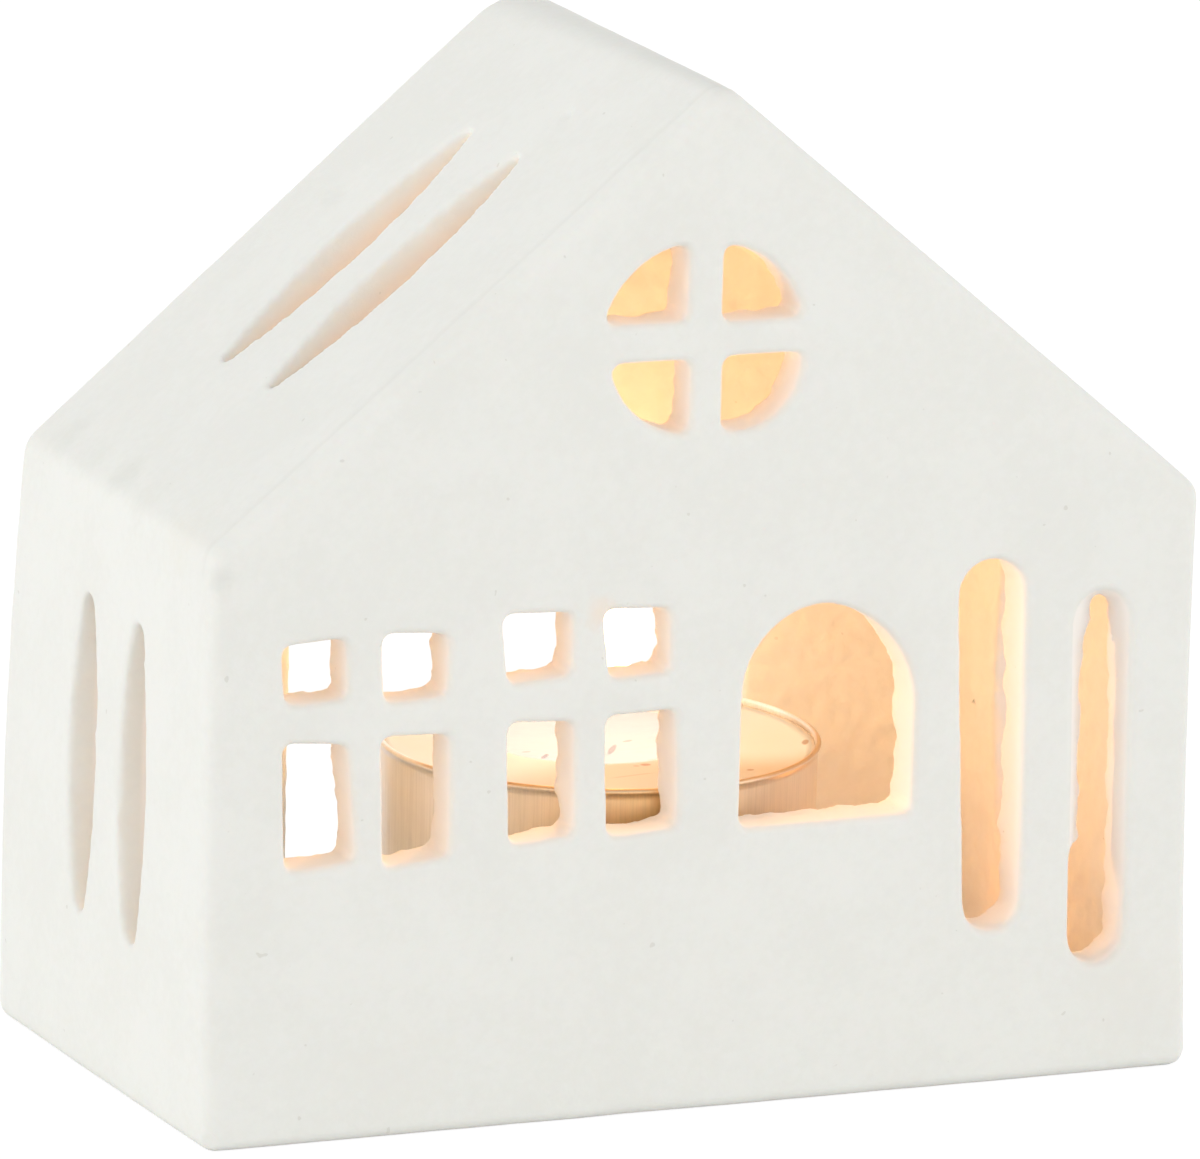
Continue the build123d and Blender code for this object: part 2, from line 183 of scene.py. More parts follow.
# Builds a tree with these input values, runs it on a piece and leaves a plain mesh
def growMesh(piece, values, material, body):
    tree = geometryTree(body.__name__, list(values), material, body)
    modifier = piece.modifiers.new(tree.name, "NODES")
    modifier.node_group = tree
    for item in tree.interface.items_tree:
        if item.item_type == "SOCKET" and item.in_out == "INPUT" and item.name in values:
            modifier[item.identifier] = float(values[item.name])
    bakeModifiers(piece)


# Turns what the modifiers make into the piece's own mesh
def bakeModifiers(piece):
    depsgraph = bpy.context.evaluated_depsgraph_get()
    mesh = bpy.data.meshes.new_from_object(piece.evaluated_get(depsgraph), depsgraph=depsgraph)
    piece.modifiers.clear()
    old = piece.data
    piece.data = mesh
    mesh.name = piece.name
    bpy.data.meshes.remove(old)


def newPiece(name, content):
    piece = bpy.data.objects.new(name, content)
    bpy.context.scene.collection.objects.link(piece)
    return piece


def shadeSmooth(piece):
    piece.data.polygons.foreach_set("use_smooth", [True] * len(piece.data.polygons))
    piece.data.update()


# Rides on its body and stands for its nodes
def seat(piece, body, slot, *nodes):
    shadeSmooth(piece)
    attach(piece, body)
    if nodes:
        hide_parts(*nodes)


def newMaterial(name):
    material = bpy.data.materials.new(name)
    material.use_nodes = True
    material.node_tree.nodes.clear()
    return material, Graph(material.node_tree)


# Ends a material with one Principled shader that takes these values
def finishMaterial(graph, inputs):
    shader = graph.add("ShaderNodeBsdfPrincipled", {}, inputs)
    graph.add("ShaderNodeOutputMaterial", {}, {"Surface": shader})


# A node's box in mm, as its low and its high corner
def nodeBox(node):
    return [Vector(corner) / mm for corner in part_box(node)]


# Points of an arc in a profile of (radius, height), angles in degrees
def arc(centre, radius, start, end, steps):
    turns = [math.radians(start + (end - start) * k / steps) for k in range(steps + 1)]
    return [(centre[0] + radius * math.cos(t), centre[1] + radius * math.sin(t)) for t in turns]


# A profile of (radius, height) in mm, from axis to axis, spun round an upright axis
def spunPiece(name, profile, axis, sides):
    made = bmesh.new()
    rings = []
    for radius, height in profile:
        count = sides if radius > 0 else 1
        turns = [math.tau * k / count for k in range(count)]
        ring = [Vector((radius * math.cos(t) + axis[0], radius * math.sin(t) + axis[1], height)) * mm for t in turns]
        rings.append([made.verts.new(corner) for corner in ring])
    for low, high in zip(rings, rings[1:]):
        for k in range(sides):
            loop = [low[k % len(low)], low[(k + 1) % len(low)], high[(k + 1) % len(high)], high[k % len(high)]]
            made.faces.new(list(dict.fromkeys(loop)))
    bmesh.ops.recalc_face_normals(made, faces=made.faces)
    mesh = bpy.data.meshes.new(name)
    made.to_mesh(mesh)
    made.free()
    return newPiece(name, mesh)


print("camera and studio")
cameraView = {
    "place": (-402.3, -944.6, 287.2),  # mm from the middle of the house's foot
    "turn": 23.037,  # degrees round from square on
    "tip": 13.432,  # degrees down
    "roll": 1.498,
    "lens": 360,
    "sensor": 36,
    "clip": (0.1, 20),
}


def makeCamera(v):
    turn, tip, roll = (math.radians(v[key]) for key in ("turn", "tip", "roll"))
    look = Vector((math.sin(turn) * math.cos(tip), math.cos(turn) * math.cos(tip), -math.sin(tip)))
    right = Vector((math.cos(turn), -math.sin(turn), 0))
    up = right.cross(look)
    leanRight = right * math.cos(roll) + up * math.sin(roll)
    leanUp = up * math.cos(roll) - right * math.sin(roll)
    data = bpy.data.cameras.new("camera")
    data.lens = v["lens"]
    data.sensor_width = v["sensor"]
    data.clip_start, data.clip_end = v["clip"]
    camera = newPiece("camera", data)
    axes = Matrix((leanRight, leanUp, -look)).transposed().to_4x4()
    camera.matrix_world = Matrix.Translation(Vector(v["place"]) * mm) @ axes
    bpy.context.scene.camera = camera


makeCamera(cameraView)

studio = {
    "worldLow": 1.295,  # strength at the horizon
    "worldHigh": 0.57,  # and overhead
    # Lamps: place in m, size in m, power in W
    "lamps": {"keyLight": ((-2.3, -0.25, 0.35), 1.3, 11.5), "sideLight": ((1.9, -1.1, 0.4), 0.8, 5.6)},
    "floorSize": 3.0,
    "floorWhite": 0.9,
    "floorLift": 0.78,  # share of the floor that shows plain white, the rest keeps the shadow
    "floorGlow": 1.13,
}


# 1 for what looks at the background: the camera, reflections and sight through glass
def seenShare(graph):
    sights = ("Is Camera Ray", "Is Glossy Ray", "Is Transmission Ray")
    rays = [graph.add("ShaderNodeLightPath", {}, {}, sight) for sight in sights]
    return rays[0].join("MAXIMUM", rays[1]).join("MAXIMUM", rays[2])


def makeStudio(v):
    world = bpy.data.worlds.new("studio")
    bpy.context.scene.world = world
    world.use_nodes = True
    world.node_tree.nodes.clear()
    graph = Graph(world.node_tree)
    direction = graph.add("ShaderNodeTexCoord", {}, {}, "Generated")
    strength = graph.band(graph.parts(direction)[2], 0.0, 1.0, v["worldLow"], v["worldHigh"])
    seen = seenShare(graph)
    lit = strength * (1 - seen) + seen
    background = graph.add("ShaderNodeBackground", {}, {"Color": (1, 1, 1, 1), "Strength": lit})
    graph.add("ShaderNodeOutputWorld", {}, {"Surface": background})

    for name, (place, size, power) in v["lamps"].items():
        lamp = bpy.data.lights.new(name, "AREA")
        lamp.size = size
        lamp.energy = power
        light = newPiece(name, lamp)
        light.location = place
        light.rotation_euler = (-Vector(place)).to_track_quat("-Z", "Y").to_euler()

    mesh = bpy.data.meshes.new("floorSheet")
    half = v["floorSize"] / 2
    corners = [(-half, -half, 0), (half, -half, 0), (half, half, 0), (-half, half, 0)]
    mesh.from_pydata(corners, [], [(0, 1, 2, 3)])
    sheet = newPiece("floorSheet", mesh)
    material, paper = newMaterial("studioPaper")
    matt = paper.add("ShaderNodeBsdfDiffuse", {}, {"Color": (v["floorWhite"],) * 3 + (1,)})
    glow = paper.add("ShaderNodeEmission", {}, {"Strength": v["floorGlow"]})
    shown = paper.add("ShaderNodeMixShader", {}, {0: seenShare(paper) * v["floorLift"], 1: matt, 2: glow})
    paper.add("ShaderNodeOutputMaterial", {}, {"Surface": shown})
    mesh.materials.append(material)


makeStudio(studio)

print("clay")
# The house's main lines in mm. The first three are sizes of the solids, the others are read from the frame
ridge = 90.9
halfFront = 46.2
eaves = 52.5
roofFall = (ridge - eaves) / halfFront  # drop of the roof for each mm away from the ridge
frontFace, innerFace = (corner.y for corner in nodeBox("front_wall"))
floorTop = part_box("tealight_cup")[0][2] / mm  # the cup stands on it

# Zones of the house. Each edge eases in from its first number to its second, in mm. aside and off are the distances
# from the middle along x and y, and under is how far a place lies below the roof's surface
zones = {
    "seamEnd": [("under", 2.4, 1.6)],
    "roofCuts": [("under", 0.6, 3.0), ("under", 9.0, 7.0), ("off", 18.5, 17.5), ("aside", 43.0, 41.5)],
    "frontCuts": [
        ("y", frontFace + 0.3, frontFace + 0.9),
        ("y", innerFace + 0.1, innerFace - 0.4),
        ("aside", 43.5, 42.5),
        ("under", 3.0, 5.0),
    ],
    "sideCuts": [("aside", 45.2, 44.6), ("aside", 41.4, 42.0), ("off", 19.5, 18.5), ("under", 7.0, 9.0)],
    "roomWalls": [
        ("aside", 43.0, 41.0),
        ("off", 20.2, 19.0),
        ("under", 3.0, 6.0),
        ("z", floorTop + 0.5, floorTop + 2.0),
    ],
    # The floor and the doorway's sill, over which the cup slides
    "cupPath": [
        ("aside", 25.0, 24.0),
        ("y", innerFace - 0.2, innerFace + 0.4),
        ("z", floorTop - 1.5, floorTop - 0.7),
        ("z", floorTop + 0.8, floorTop + 0.3),
    ],
    "frontSlab": [("aside", 42.0, 40.0), ("under", 4.0, 6.0), ("y", innerFace + 1.5, innerFace)],
}


# What the zones are measured by, from a place in mm
def houseMeasures(graph, place):
    x, y, z = graph.parts(place)
    aside = abs(x)
    return {"aside": aside, "y": y, "off": abs(y), "z": z, "under": ridge - aside * roofFall - z}


# 1 inside a zone and 0 outside it
def inZone(graph, measures, zone):
    edges = [graph.band(measures[name], low, high) for name, low, high in zones[zone]]
    return math.prod(edges[1:], start=edges[0])


clay = {
    "colour": (0.862, 0.864, 0.822, 1),
    "shadeColour": (0.838, 0.839, 0.794, 1),
    "shadeEdges": (0.38, 0.62),  # all shade below the first, none above the second
    "roughness": 0.92,
    "specular": 0.25,
    "glow": 0.12,  # share of the light that goes a little way into the clay
    "glowReach": (1.0, 0.55, 0.3),
    "glowDepth": 1.6,  # mm
    # Patterns: scale for each mm, detail and roughness
    "cloud": (0.09, 4.0, 0.6),
    "grain": (1.1, 3.0, 0.65),
    "fine": (3.2, 2.0, 0.6),
    "ragged": (0.55, 3.0, 0.6),
    "speck": (0.9, 1.0, 0.5),
    "cloudShare": 0.6,  # in the tone, where the rest is grain
    "grainShare": 0.6,  # in the relief, where the rest is fine
    "relief": (0.05, 0.6),  # depth in mm and strength
    # Painted shade along the groove of the seam
    "seamPaintedShade": (0.76, 0.76, 0.71, 1),
    "seamPaintedShadeShare": 0.3,
    "seamStray": 0.5,  # mm
    "speckColour": (0.55, 0.53, 0.46, 1),
    "speckEdges": (0.79, 0.81),
    "speckShare": 0.3,
    "paintedFlameLight": (0.90, 0.74, 0.62, 1),  # painted flame light on the cut faces of the roof's slots
    "paintedFlameLightShare": 0.5,
    "cutPaintedLight": (0.945, 0.915, 0.875, 1),  # painted light, which makes the cut faces inside the openings paler
    # Stains and painted light: place in mm, reach in mm, colour, and how much of it shows
    "stainsAndPaintedLight": [
        # Painted shade: greyish smudges along the left eave, where shallow hollows in the clay fall into shade
        ((-44.6, 16.5, 54.0), 3.6, (0.72, 0.73, 0.67, 1), 0.28),
        ((-45.0, 9.5, 54.0), 3.6, (0.76, 0.77, 0.70, 1), 0.22),
        ((-44.8, 2.2, 54.0), 3.6, (0.71, 0.72, 0.66, 1), 0.28),
        ((-45.6, -5.0, 53.4), 3.4, (0.76, 0.76, 0.69, 1), 0.24),
        ((-46.0, -15.5, 52.6), 5.5, (0.84, 0.81, 0.72, 1), 0.30),
        ((-45.6, -23.6, 50.6), 1.9, (0.70, 0.70, 0.66, 1), 0.40),
        ((40.0, -24.0, 8.0), 9.0, (0.84, 0.82, 0.76, 1), 0.35),
        ((-30.0, -24.0, 5.0), 8.0, (0.84, 0.83, 0.78, 1), 0.3),
        # Painted light: a soft orange glow of the flame on the front face, at the upper left edge of a window pane
        ((-10.5, -24.0, 45.3), 2.2, (0.94, 0.78, 0.64, 1), 0.5),
    ],
}
# Seam where the front slab's outer leaf meets the roof slabs, in mm
seam = {"place": -21.4, "width": 0.7, "depth": 0.08}


def makeClay(v):
    material, graph = newMaterial("bisqueClay")
    place = graph.objectPlace()
    measures = houseMeasures(graph, place)
    cloud, grain, fine, ragged, speck = (
        graph.noise(place, *v[pattern]) for pattern in ("cloud", "grain", "fine", "ragged", "speck")
    )
    tone = graph.band(graph.mixed(cloud, grain, v["cloudShare"]), *v["shadeEdges"])
    colour = graph.blend(tone, v["shadeColour"], v["colour"])
    # Stains, and painted light and shade, laid over the clay's tone
    for centre, reach, patchTint, strength in v["stainsAndPaintedLight"]:
        near = graph.band(graph.distance(place, centre) + (ragged - 0.5) * reach, reach, 0.0)
        colour = graph.blend(near * strength, colour, patchTint)

    # Painted shade: the clay is darker along the seam's groove
    away = abs(measures["y"] - seam["place"] + (ragged - 0.5) * v["seamStray"])
    line = graph.band(away, seam["width"], 0.0) * inZone(graph, measures, "seamEnd")
    colour = graph.blend(line * v["seamPaintedShadeShare"], colour, v["seamPaintedShade"])
    # Painted flame light on the cut faces of the roof's slots
    colour = graph.blend(inZone(graph, measures, "roofCuts") * v["paintedFlameLightShare"], colour, v["paintedFlameLight"])
    # Painted light: the cut faces inside the openings of the front and the side walls are paler
    cuts = inZone(graph, measures, "frontCuts").join("MAXIMUM", inZone(graph, measures, "sideCuts"))
    colour = graph.blend(cuts, colour, v["cutPaintedLight"])
    colour = graph.blend(graph.band(speck, *v["speckEdges"]) * v["speckShare"], colour, v["speckColour"])
    inputs = {
        "Base Color": colour,
        "Roughness": v["roughness"],
        "Specular IOR Level": v["specular"],
        "Subsurface Weight": v["glow"],
        "Subsurface Radius": v["glowReach"],
        "Subsurface Scale": v["glowDepth"] * mm,
        "Normal": graph.bump(graph.mixed(grain, fine, v["grainShare"]), *v["relief"]),
    }
    finishMaterial(graph, inputs)
    return material


# The solid's doorway in mm. The back slab's corners that lie between these lines belong to it
doorway = {"halfWidth": 23.6, "sill": 3.8, "spring": 34.9, "crown": 53.8}
skin = {
    "mergeWithin": 1e-6,  # m
    "overlap": 0.05,  # mm that each slab is swollen before they are fused
    "voxel": 0.38,  # mm
    "softening": (0.5, 6),  # strength and rounds
    "doorShare": 0.945,  # how wide the doorway is cut, as a share of the solid's
    "doorLift": 0.8,  # how much higher its crown is cut, in mm
    "dimpleDetail": 3.0,
    "nibbleDetail": 3.0,
    "cutStart": 1.2,  # mm behind the front's face where the knife begins to stray
    "cutGrowth": 1.6,  # power by which it strays more further in
    "mostTriangles": 192000,
}
# What hand and knife left on the skin, in mm
handWork = {
    "Wobble": 0.10,
    "Wobble Size": 20.0,
    "Dent": 0.04,
    "Dent Size": 5.5,
    "Dimple": 0.50,
    "Dimple Size": 1.9,
    "Cut Stray": 0.50,
    "Cut Stray Size": 4.0,
    "Cut Nibble": 0.42,
    "Cut Nibble Size": 1.7,
    "Seam Depth": seam["depth"],
    "Floor Sink": 0.16,
}
# Pits, and one swelling, whose depth is below 0: place, reach and depth in mm
pits = [
    ((-7.1, -5.9, 85.0), 1.0, 0.35),
    ((-19.4, 15.4, 74.8), 2.6, 0.25),
    ((9.0, -24.0, 4.9), 0.7, 0.25),
    ((0.3, -24.0, 36.7), 0.5, 0.2),
    ((6.9, -24.0, 22.0), 0.6, 0.2),
    ((-45.9, -24.0, 1.0), 1.3, 0.5),
    ((21.0, -24.0, 60.0), 1.6, 0.08),
    ((-46.2, 12.0, 20.0), 1.2, 0.12),
    ((-3.4, -19.6, 43.1), 1.1, 0.6),
    ((-3.4, -19.6, 41.2), 1.1, 0.6),
    ((37.1, -19.6, 41.0), 4.0, -0.7),
]
boxLow, boxHigh = (Vector(corner) / mm for corner in cadBox)


def onDoorway(corner):
    return abs(corner.x) < doorway["halfWidth"] and doorway["sill"] < corner.z < doorway["crown"]


# Copies of the slabs, a hair swollen so that they overlap, fused into one skin
def fuseSlabs(v):
    gathered = bmesh.new()
    for name in slabNodes:
        slab = bmesh.new()
        slab.from_mesh(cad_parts[name].data)
        bmesh.ops.remove_doubles(slab, verts=slab.verts, dist=v["mergeWithin"])
        bmesh.ops.recalc_face_normals(slab, faces=slab.faces)
        slab.normal_update()
        for vertex in slab.verts:
            if name == "back_wall" and onDoorway(vertex.co / mm):
                vertex.co.x *= v["doorShare"]
                above = max(0, vertex.co.z / mm - doorway["spring"]) / (doorway["crown"] - doorway["spring"])
                vertex.co.z += above * v["doorLift"] * mm
            vertex.co += vertex.normal * v["overlap"] * mm
        part = bpy.data.meshes.new("slab")
        slab.to_mesh(part)
        gathered.from_mesh(part)
        slab.free()
        bpy.data.meshes.remove(part)
    mesh = bpy.data.meshes.new("houseSkin")
    gathered.to_mesh(mesh)
    gathered.free()
    piece = newPiece("houseSkin", mesh)
    remesh = piece.modifiers.new("fuse", "REMESH")
    remesh.mode = "VOXEL"
    remesh.voxel_size = v["voxel"] * mm
    bakeModifiers(piece)
    soften = piece.modifiers.new("soften", "SMOOTH")
    soften.factor, soften.iterations = v["softening"]
    bakeModifiers(piece)
    return piece


# Moves the skin in and out by the hand's marks, never past the solids' box
def handMarks(graph, geometry, wires):
    def swing(name, detail=2.0):
        return graph.swing(place, 1 / wires[name + " Size"], detail)

    place = graph.meshPlace()
    normal = graph.add("GeometryNodeInputNormal")
    measures = houseMeasures(graph, place)
    y = measures["y"]
    amount = wires["Wobble"] * swing("Wobble")
    amount = amount + wires["Dent"] * swing("Dent")

    # The room's own walls are dimpled
    dimple = inZone(graph, measures, "roomWalls") * wires["Dimple"] * swing("Dimple", skin["dimpleDetail"])
    amount = amount + dimple

    # The cup's path lies a hair lower, so that the cup stands on it and slides over it
    amount = amount - inZone(graph, measures, "cupPath") * wires["Floor Sink"]

    # The knife wandered most where it came out behind the front slab
    deep = graph.band(y, frontFace + skin["cutStart"], innerFace) ** skin["cutGrowth"]
    stray = wires["Cut Stray"] * swing("Cut Stray")
    nibble = wires["Cut Nibble"] * swing("Cut Nibble", skin["nibbleDetail"])
    amount = amount + inZone(graph, measures, "frontSlab") * deep * (stray + nibble)

    line = graph.band(abs(y - seam["place"]), seam["width"], 0.0) * inZone(graph, measures, "seamEnd")
    amount = amount - line * wires["Seam Depth"]
    for centre, reach, depth in pits:
        amount = amount - graph.band(graph.distance(place, centre), reach, 0.0) * depth
    moved = graph.vector("ADD", place, graph.scaled(normal, amount))
    kept = graph.vector("MINIMUM", graph.vector("MAXIMUM", moved, boxLow), boxHigh)
    inputs = {"Geometry": geometry, "Position": graph.scaled(kept, mm)}
    return graph.add("GeometryNodeSetPosition", {}, inputs)


def thinMesh(piece, most):
    triangles = sum(len(face.vertices) - 2 for face in piece.data.polygons)
    if triangles > most:
        thin = piece.modifiers.new("thin", "DECIMATE")
        thin.ratio = most / triangles
        bakeModifiers(piece)


clayMaterial = makeClay(clay)
house = fuseSlabs(skin)
print("skin", len(house.data.vertices), len(house.data.polygons))
growMesh(house, handWork, clayMaterial, handMarks)
thinMesh(house, skin["mostTriangles"])
seat(house, "house", "clay", *slabNodes)

print("tealight cup")
cupLow, cupHigh = nodeBox("tealight_cup")
candleAxis = ((cupLow.x + cupHigh.x) / 2, (cupLow.y + cupHigh.y) / 2)
cupFoot = cupLow.z
cupTop = cupHigh.z
rimRadius = (cupHigh.x - cupLow.x) / 2

# Sizes in mm
cup = {
    "skin": 0.2,
    "roll": 0.27,  # radius of the rolled rim
    "rollTurn": (-80, 190, 14),  # degrees from and to, and steps
    "taper": 0.2,
    "footRound": 1.2,
    "footSteps": 6,
    "seatRadius": 7.4,  # the raised middle of the foot
    "seatRise": 0.4,
    "seatSlope": (0.4, 0.3),  # outside and inside
    "sideFrom": 1.5,  # the side begins so far over the foot
    "sideTo": 1.1,  # and ends so far under the top
    "sideSteps": 12,
    "innerTo": 1.2,  # as the inner side does
    "innerRound": (1.0, 1.4),  # across and up
    "sides": 480,
    # Across and along, from the axis: where the painted orange flame light in the middle and the painted warm shade
    # on the right take over
    "middleEdges": ((-15.0, -4.0), (-9.0, -13.0)),
    "rightEdges": ((2.0, 9.0), (4.0, 0.0)),
    "rimEdges": ((-0.3, -0.12), (-2.0, -8.0)),  # height from the top, and along
    "leftColour": (1.0, 0.98, 0.95, 1),
    # The middle and the right colours are painted light and shade
    "middlePaintedFlameLight": (1.0, 0.73, 0.41, 1),
    "rightPaintedShade": (0.82, 0.72, 0.62, 1),
    "rimPaintedShade": (0.66, 0.46, 0.28, 1),  # painted shade on the top of the rolled rim, on the near side
    "upright": (1, 1, 0.02),  # draws a pattern out into upright lines
    "streak": (5.0, 3.0, 0.6),  # patterns: scale for each mm, detail and roughness
    "cloud": (0.25, 3.0, 0.6),
    "streakShare": 0.7,
    "streakEdges": (0.36, 0.62),
    "streakShade": 0.92,
    "roughEdges": (0.3, 0.7),
    "roughness": (0.34, 0.44),
    "metallic": 0.72,
    "relief": (0.04, 0.5),  # depth and strength
    "lineDetail": (3.0, 0.7),  # detail and roughness of the draw lines' pattern
    "lineFoot": (1, 3),  # they fade in over these heights from the foot
    "lineTop": (-0.9, -2.0),  # and from the top
}
# Draw lines and dents on the cup's side, in mm, and the lines' scale for each mm
drawLines = {"Line Depth": 0.012, "Line Scale": 2.5, "Dent": 0.05, "Dent Size": 7.0}


# A place in mm, measured from the tealight's axis
def fromAxis(graph, place):
    return graph.vector("SUBTRACT", place, (*candleAxis, 0))


def cupProfile(v):
    base, thick = cupFoot, v["skin"]
    raised = base + v["seatRise"]
    wallTop = rimRadius - v["roll"]
    wallFoot = wallTop - v["taper"]
    innerFoot = wallFoot - thick
    outerSlope, innerSlope = v["seatSlope"]
    roundAcross, roundUp = v["innerRound"]
    tall = cupTop - base - v["sideFrom"] - v["sideTo"]

    outside = [(0, raised), (v["seatRadius"], raised), (v["seatRadius"] + outerSlope, base)]
    bend = arc((wallFoot - v["footRound"], base + v["footRound"]), v["footRound"], -90, 0, v["footSteps"])
    shares = [k / v["sideSteps"] for k in range(v["sideSteps"] + 1)]
    side = [(wallFoot + v["taper"] * share, base + v["sideFrom"] + tall * share) for share in shares]
    roll = arc((wallTop, cupTop - v["roll"]), v["roll"], *v["rollTurn"])
    inside = [(wallTop - thick, cupTop - v["innerTo"]), (innerFoot, base + roundUp)]
    inside += [(innerFoot - roundAcross, base + thick), (v["seatRadius"] + innerSlope, base + thick)]
    inside += [(v["seatRadius"], raised + thick), (0, raised + thick)]
    return outside + bend + side + roll + inside


def makeFoil(v):
    material, graph = newMaterial("drawnFoil")
    place = fromAxis(graph, graph.objectPlace())
    streak = graph.noise(graph.vector("MULTIPLY", place, v["upright"]), *v["streak"])
    cloud = graph.noise(place, *v["cloud"])
    across, along, height = graph.parts(place)

    def patch(first, second, edges):
        return graph.band(first, *edges[0]) * graph.band(second, *edges[1])

    # Painted light: orange flame light in the middle of the near side, warm shade to the right
    colour = graph.blend(patch(across, along, v["middleEdges"]), v["leftColour"], v["middlePaintedFlameLight"])
    colour = graph.blend(patch(across, along, v["rightEdges"]), colour, v["rightPaintedShade"])
    shade = graph.band(graph.mixed(streak, cloud, v["streakShare"]), *v["streakEdges"], v["streakShade"], 1.0)
    colour = graph.scaled(colour, shade)
    # Painted shade on the top of the rolled rim
    colour = graph.blend(patch(height - cupTop, along, v["rimEdges"]), colour, v["rimPaintedShade"])
    inputs = {
        "Base Color": colour,
        "Roughness": graph.band(streak, *v["roughEdges"], *v["roughness"]),
        "Metallic": v["metallic"],
        "Normal": graph.bump(streak, *v["relief"]),
    }
    finishMaterial(graph, inputs)
    return material


# Fine upright lines that the drawing die left, and soft dents from handling
def drawnMarks(graph, geometry, wires):
    place = fromAxis(graph, graph.meshPlace())
    normal = graph.add("GeometryNodeInputNormal")
    z = graph.parts(place)[2]
    onSide = graph.band(z, *(cupFoot + edge for edge in cup["lineFoot"]))
    onSide = onSide * graph.band(z, *(cupTop + edge for edge in cup["lineTop"]))
    upright = graph.vector("MULTIPLY", place, cup["upright"])
    line = graph.swing(upright, wires["Line Scale"], *cup["lineDetail"]) * wires["Line Depth"]
    dent = graph.swing(place, 1 / wires["Dent Size"]) * wires["Dent"]
    offset = graph.scaled(normal, onSide * (line + dent) * mm)
    return graph.add("GeometryNodeSetPosition", {}, {"Geometry": geometry, "Offset": offset})


tealightCup = spunPiece("tealightCup", cupProfile(cup), candleAxis, cup["sides"])
growMesh(tealightCup, drawLines, makeFoil(cup), drawnMarks)
seat(tealightCup, "tealight", "cup_foil", "tealight_cup")

print("wax")
waxLow, waxHigh = nodeBox("wax")
# Sizes in mm
wax = {
    "radius": (waxHigh.x - waxLow.x) / 2,
    "footBevel": 1.0,
    "taper": 0.2,
    "shoulder": 0.3,  # the side ends so far under the top
    "topSink": 0.05,
    "rimGap": 0.03,  # between the wax and the cup's rolled rim
    "rimCreep": 0.9,  # how far the wax climbs the cup
    "creepPower": 4,
    "creepSteps": 15,
    "poolRadius": 6.4,
    "poolDepth": 0.12,
    "poolSteps": 8,
    "sides": 240,
    # The soft, nearly molten wax lies further to the back
    "softMiddle": (1.5, 5.5),
    "softRadius": 10.0,
    "softEdges": (-0.3, 0.5),
    "softStray": 2.0,
    "backEdges": (-6.0, 4.0),
    "backBend": 0.6,  # the line between the firm front and back bends forward at the sides by this share
    "topEdges": (-0.8, -0.4),  # from the top
    "rimEdges": (0.12, -0.15),  # from the wax's own radius
    # bluish, so that under the flame's orange light the pool renders near white: a painted highlight
    "molten": (0.60, 0.72, 0.82, 1),
    # Painted daylight from the doorway on the firm back, painted shade on the firm front
    "firmBackPaintedLight": (0.66, 0.74, 0.80, 1),
    "firmFrontPaintedShade": (0.52, 0.44, 0.34, 1),
    "sideColour": (0.88, 0.85, 0.78, 1),
    "ragged": (0.45, 3.0, 0.6),  # pattern: scale for each mm, detail and roughness
    "roughness": (0.12, 0.5),  # molten and firm
    "coat": (1.0, 0.3),
    "relief": (0.05, 0.4),  # depth and strength
    "rippleDetail": 3.0,
    "rippleEdges": ((-1.0, -0.4), (0.9, 0.3)),  # ripples fade in from below the top, and out up the cup's side
    "fleckColour": (0.30, 0.13, 0.03, 1),
    "fleckEdges": (1.2, 0.3),
    "fleckStray": 1.2,
    # Burnt flecks: middle (x, y) from the wick, half length, half width, turn in degrees, strength
    "flecks": [
        ((-5.2, -0.3), 1.1, 0.28, 55, 0.9),
        ((-6.2, 1.6), 0.5, 0.25, 10, 0.35),
        ((1.5, 0.4), 1.9, 0.30, 58, 0.7),
        ((3.9, 2.6), 0.6, 0.3, 20, 0.45),
        ((2.1, -5.8), 0.55, 0.5, 0, 0.8),
        ((1.2, -5.9), 0.35, 0.35, 0, 0.5),
        ((-0.5, -9.0), 2.6, 0.22, 8, 0.3),
        ((10.0, -10.8), 0.35, 0.35, 0, 0.8),
        ((17.6, -5.4), 0.9, 0.35, 70, 0.7),
        ((9.5, 2.0), 2.4, 0.2, 24, 0.3),
    ],
}
waxMarks = {"Ripple": 0.05, "Ripple Size": 3.5, "Lump": 0.10, "Lump Size": 9.0, "Sink": 0.1}


def waxProfile(v):
    radius, foot, top = v["radius"], waxLow.z, waxHigh.z - v["topSink"]
    side = [(0, foot), (radius - v["footBevel"], foot), (radius - v["taper"], foot + v["footBevel"])]
    side.append((radius, waxHigh.z - v["shoulder"]))
    edge = rimRadius - 2 * cup["roll"] - v["rimGap"]  # up against the rolled rim
    ring = []
    for k in range(v["creepSteps"]):
        share = k / v["creepSteps"]
        rise = v["rimCreep"] * (1 - share) ** v["creepPower"]
        ring.append((edge + (v["poolRadius"] - edge) * share, top + rise))
    dish = []
    for k in range(v["poolSteps"] + 1):
        share = k / v["poolSteps"]
        dish.append((v["poolRadius"] * (1 - share), top - v["poolDepth"] * math.sin(math.pi / 2 * share)))
    return side + ring + dish


